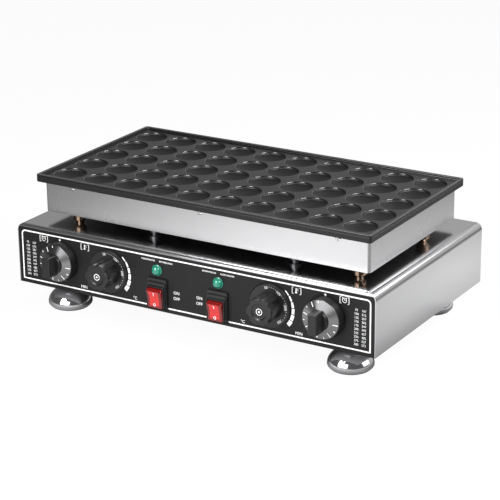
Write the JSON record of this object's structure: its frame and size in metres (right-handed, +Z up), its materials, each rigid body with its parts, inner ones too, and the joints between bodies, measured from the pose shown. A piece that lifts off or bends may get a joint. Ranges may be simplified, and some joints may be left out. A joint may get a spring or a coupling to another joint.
{
  "type": "mini pancake maker",
  "caption": "Countertop electric mini pancake maker: rimmed non-stick plate with a grid of round pockets on a steel heater box over a control base with knobs, switches and lamps.",
  "frame": {"origin": "on the worktop, under the middle of the object's box", "axes": "+X along the front from left to right, +Y from the front to the back, +Z up"},
  "size_m": [0.56, 0.3815, 0.1922],
  "materials": {
    "brushed_steel": "brushed stainless, bright",
    "plain_steel": "mill finish sheet",
    "zinc_steel": "zinc plated",
    "nonstick": "black non-stick coating on cast aluminium",
    "panel_black": "satin black with white print",
    "wool": "mineral wool",
    "element_sheath": "dark oxidised sheath",
    "copper": "drawn copper",
    "pillar_brass": "turned brass, darkened",
    "control_metal": "pressed control body",
    "knob_black": "black moulded plastic",
    "switch_black": "black moulded plastic",
    "rocker_red": "translucent red",
    "lens_green": "translucent green",
    "terminal_white": "moulded",
    "foot_chrome": "polished chrome plate",
    "foot_rubber": "black rubber"
  },
  "bodies": {
    "base": {"base_shell": "brushed_steel", "control_panel": "panel_black", "back_panel": "brushed_steel", "bottom_plate": "plain_steel", "bottom_screws": "zinc_steel", "grill_plate": "nonstick", "heater_skirt": "brushed_steel", "skirt_screws": "zinc_steel", "heater_tray": "plain_steel", "insulation_mat": "wool", "heating_element_left": "element_sheath", "heating_element_right": "element_sheath", "element_clamps": "plain_steel", "clamp_screws": "zinc_steel", "sensor_left": "copper", "sensor_right": "copper", "standoffs": "pillar_brass", "standoff_bolts": "zinc_steel", "standoff_nuts": "zinc_steel", "wire_conduits": "plain_steel", "control_screws": "zinc_steel", "lamp_nuts": "zinc_steel", "cable_gland": "switch_black", "gland_cap": "switch_black", "gland_locknut": "switch_black", "terminal_block": "terminal_white", "terminal_screws": "zinc_steel", "foot_nuts": "zinc_steel", "timer_body_left": "control_metal", "thermostat_body_left": "control_metal", "switch_housing_left": "switch_black", "lamp_lens_left": "lens_green", "lamp_holder_left": "switch_black", "timer_body_right": "control_metal", "thermostat_body_right": "control_metal", "switch_housing_right": "switch_black", "lamp_lens_right": "lens_green", "lamp_holder_right": "switch_black"},
    "timer_left": {"timer_knob_left": "knob_black", "timer_shaft_left": "zinc_steel"},
    "thermostat_left": {"thermostat_knob_left": "knob_black", "thermostat_shaft_left": "zinc_steel"},
    "rocker_left": {"rocker_left": "rocker_red"},
    "timer_right": {"timer_knob_right": "knob_black", "timer_shaft_right": "zinc_steel"},
    "thermostat_right": {"thermostat_knob_right": "knob_black", "thermostat_shaft_right": "zinc_steel"},
    "rocker_right": {"rocker_right": "rocker_red"},
    "foot_front_left": {"foot_front_left": "foot_chrome", "foot_pad_front_left": "foot_rubber"},
    "foot_front_right": {"foot_front_right": "foot_chrome", "foot_pad_front_right": "foot_rubber"},
    "foot_rear_left": {"foot_rear_left": "foot_chrome", "foot_pad_rear_left": "foot_rubber"},
    "foot_rear_right": {"foot_rear_right": "foot_chrome", "foot_pad_rear_right": "foot_rubber"}
  },
  "joints": [
    {"name": "timer_left_turn", "type": "hinge", "parent": "base", "child": "timer_left", "pos_m": [-0.208, -0.158, 0.081], "axis": [0, 1, 0], "range_deg": [0, 300]},
    {"name": "thermostat_left_turn", "type": "hinge", "parent": "base", "child": "thermostat_left", "pos_m": [-0.127, -0.158, 0.081], "axis": [0, 1, 0], "range_deg": [0, 270]},
    {"name": "rocker_left_tip", "type": "hinge", "parent": "base", "child": "rocker_left", "pos_m": [-0.0475, -0.1615, 0.059], "axis": [-1, 0, 0], "range_deg": [0, 18]},
    {"name": "timer_right_turn", "type": "hinge", "parent": "base", "child": "timer_right", "pos_m": [0.208, -0.158, 0.081], "axis": [0, 1, 0], "range_deg": [0, 300]},
    {"name": "thermostat_right_turn", "type": "hinge", "parent": "base", "child": "thermostat_right", "pos_m": [0.127, -0.158, 0.081], "axis": [0, 1, 0], "range_deg": [0, 270]},
    {"name": "rocker_right_tip", "type": "hinge", "parent": "base", "child": "rocker_right", "pos_m": [0.0475, -0.1615, 0.059], "axis": [-1, 0, 0], "range_deg": [0, 18]},
    {"name": "foot_front_left_turn", "type": "hinge", "parent": "base", "child": "foot_front_left", "pos_m": [-0.224, -0.118, 0.028], "axis": [0, 0, 1], "continuous": true},
    {"name": "foot_front_right_turn", "type": "hinge", "parent": "base", "child": "foot_front_right", "pos_m": [0.224, -0.118, 0.028], "axis": [0, 0, 1], "continuous": true},
    {"name": "foot_rear_left_turn", "type": "hinge", "parent": "base", "child": "foot_rear_left", "pos_m": [-0.224, 0.118, 0.028], "axis": [0, 0, 1], "continuous": true},
    {"name": "foot_rear_right_turn", "type": "hinge", "parent": "base", "child": "foot_rear_right", "pos_m": [0.224, 0.118, 0.028], "axis": [0, 0, 1], "continuous": true}
  ]
}
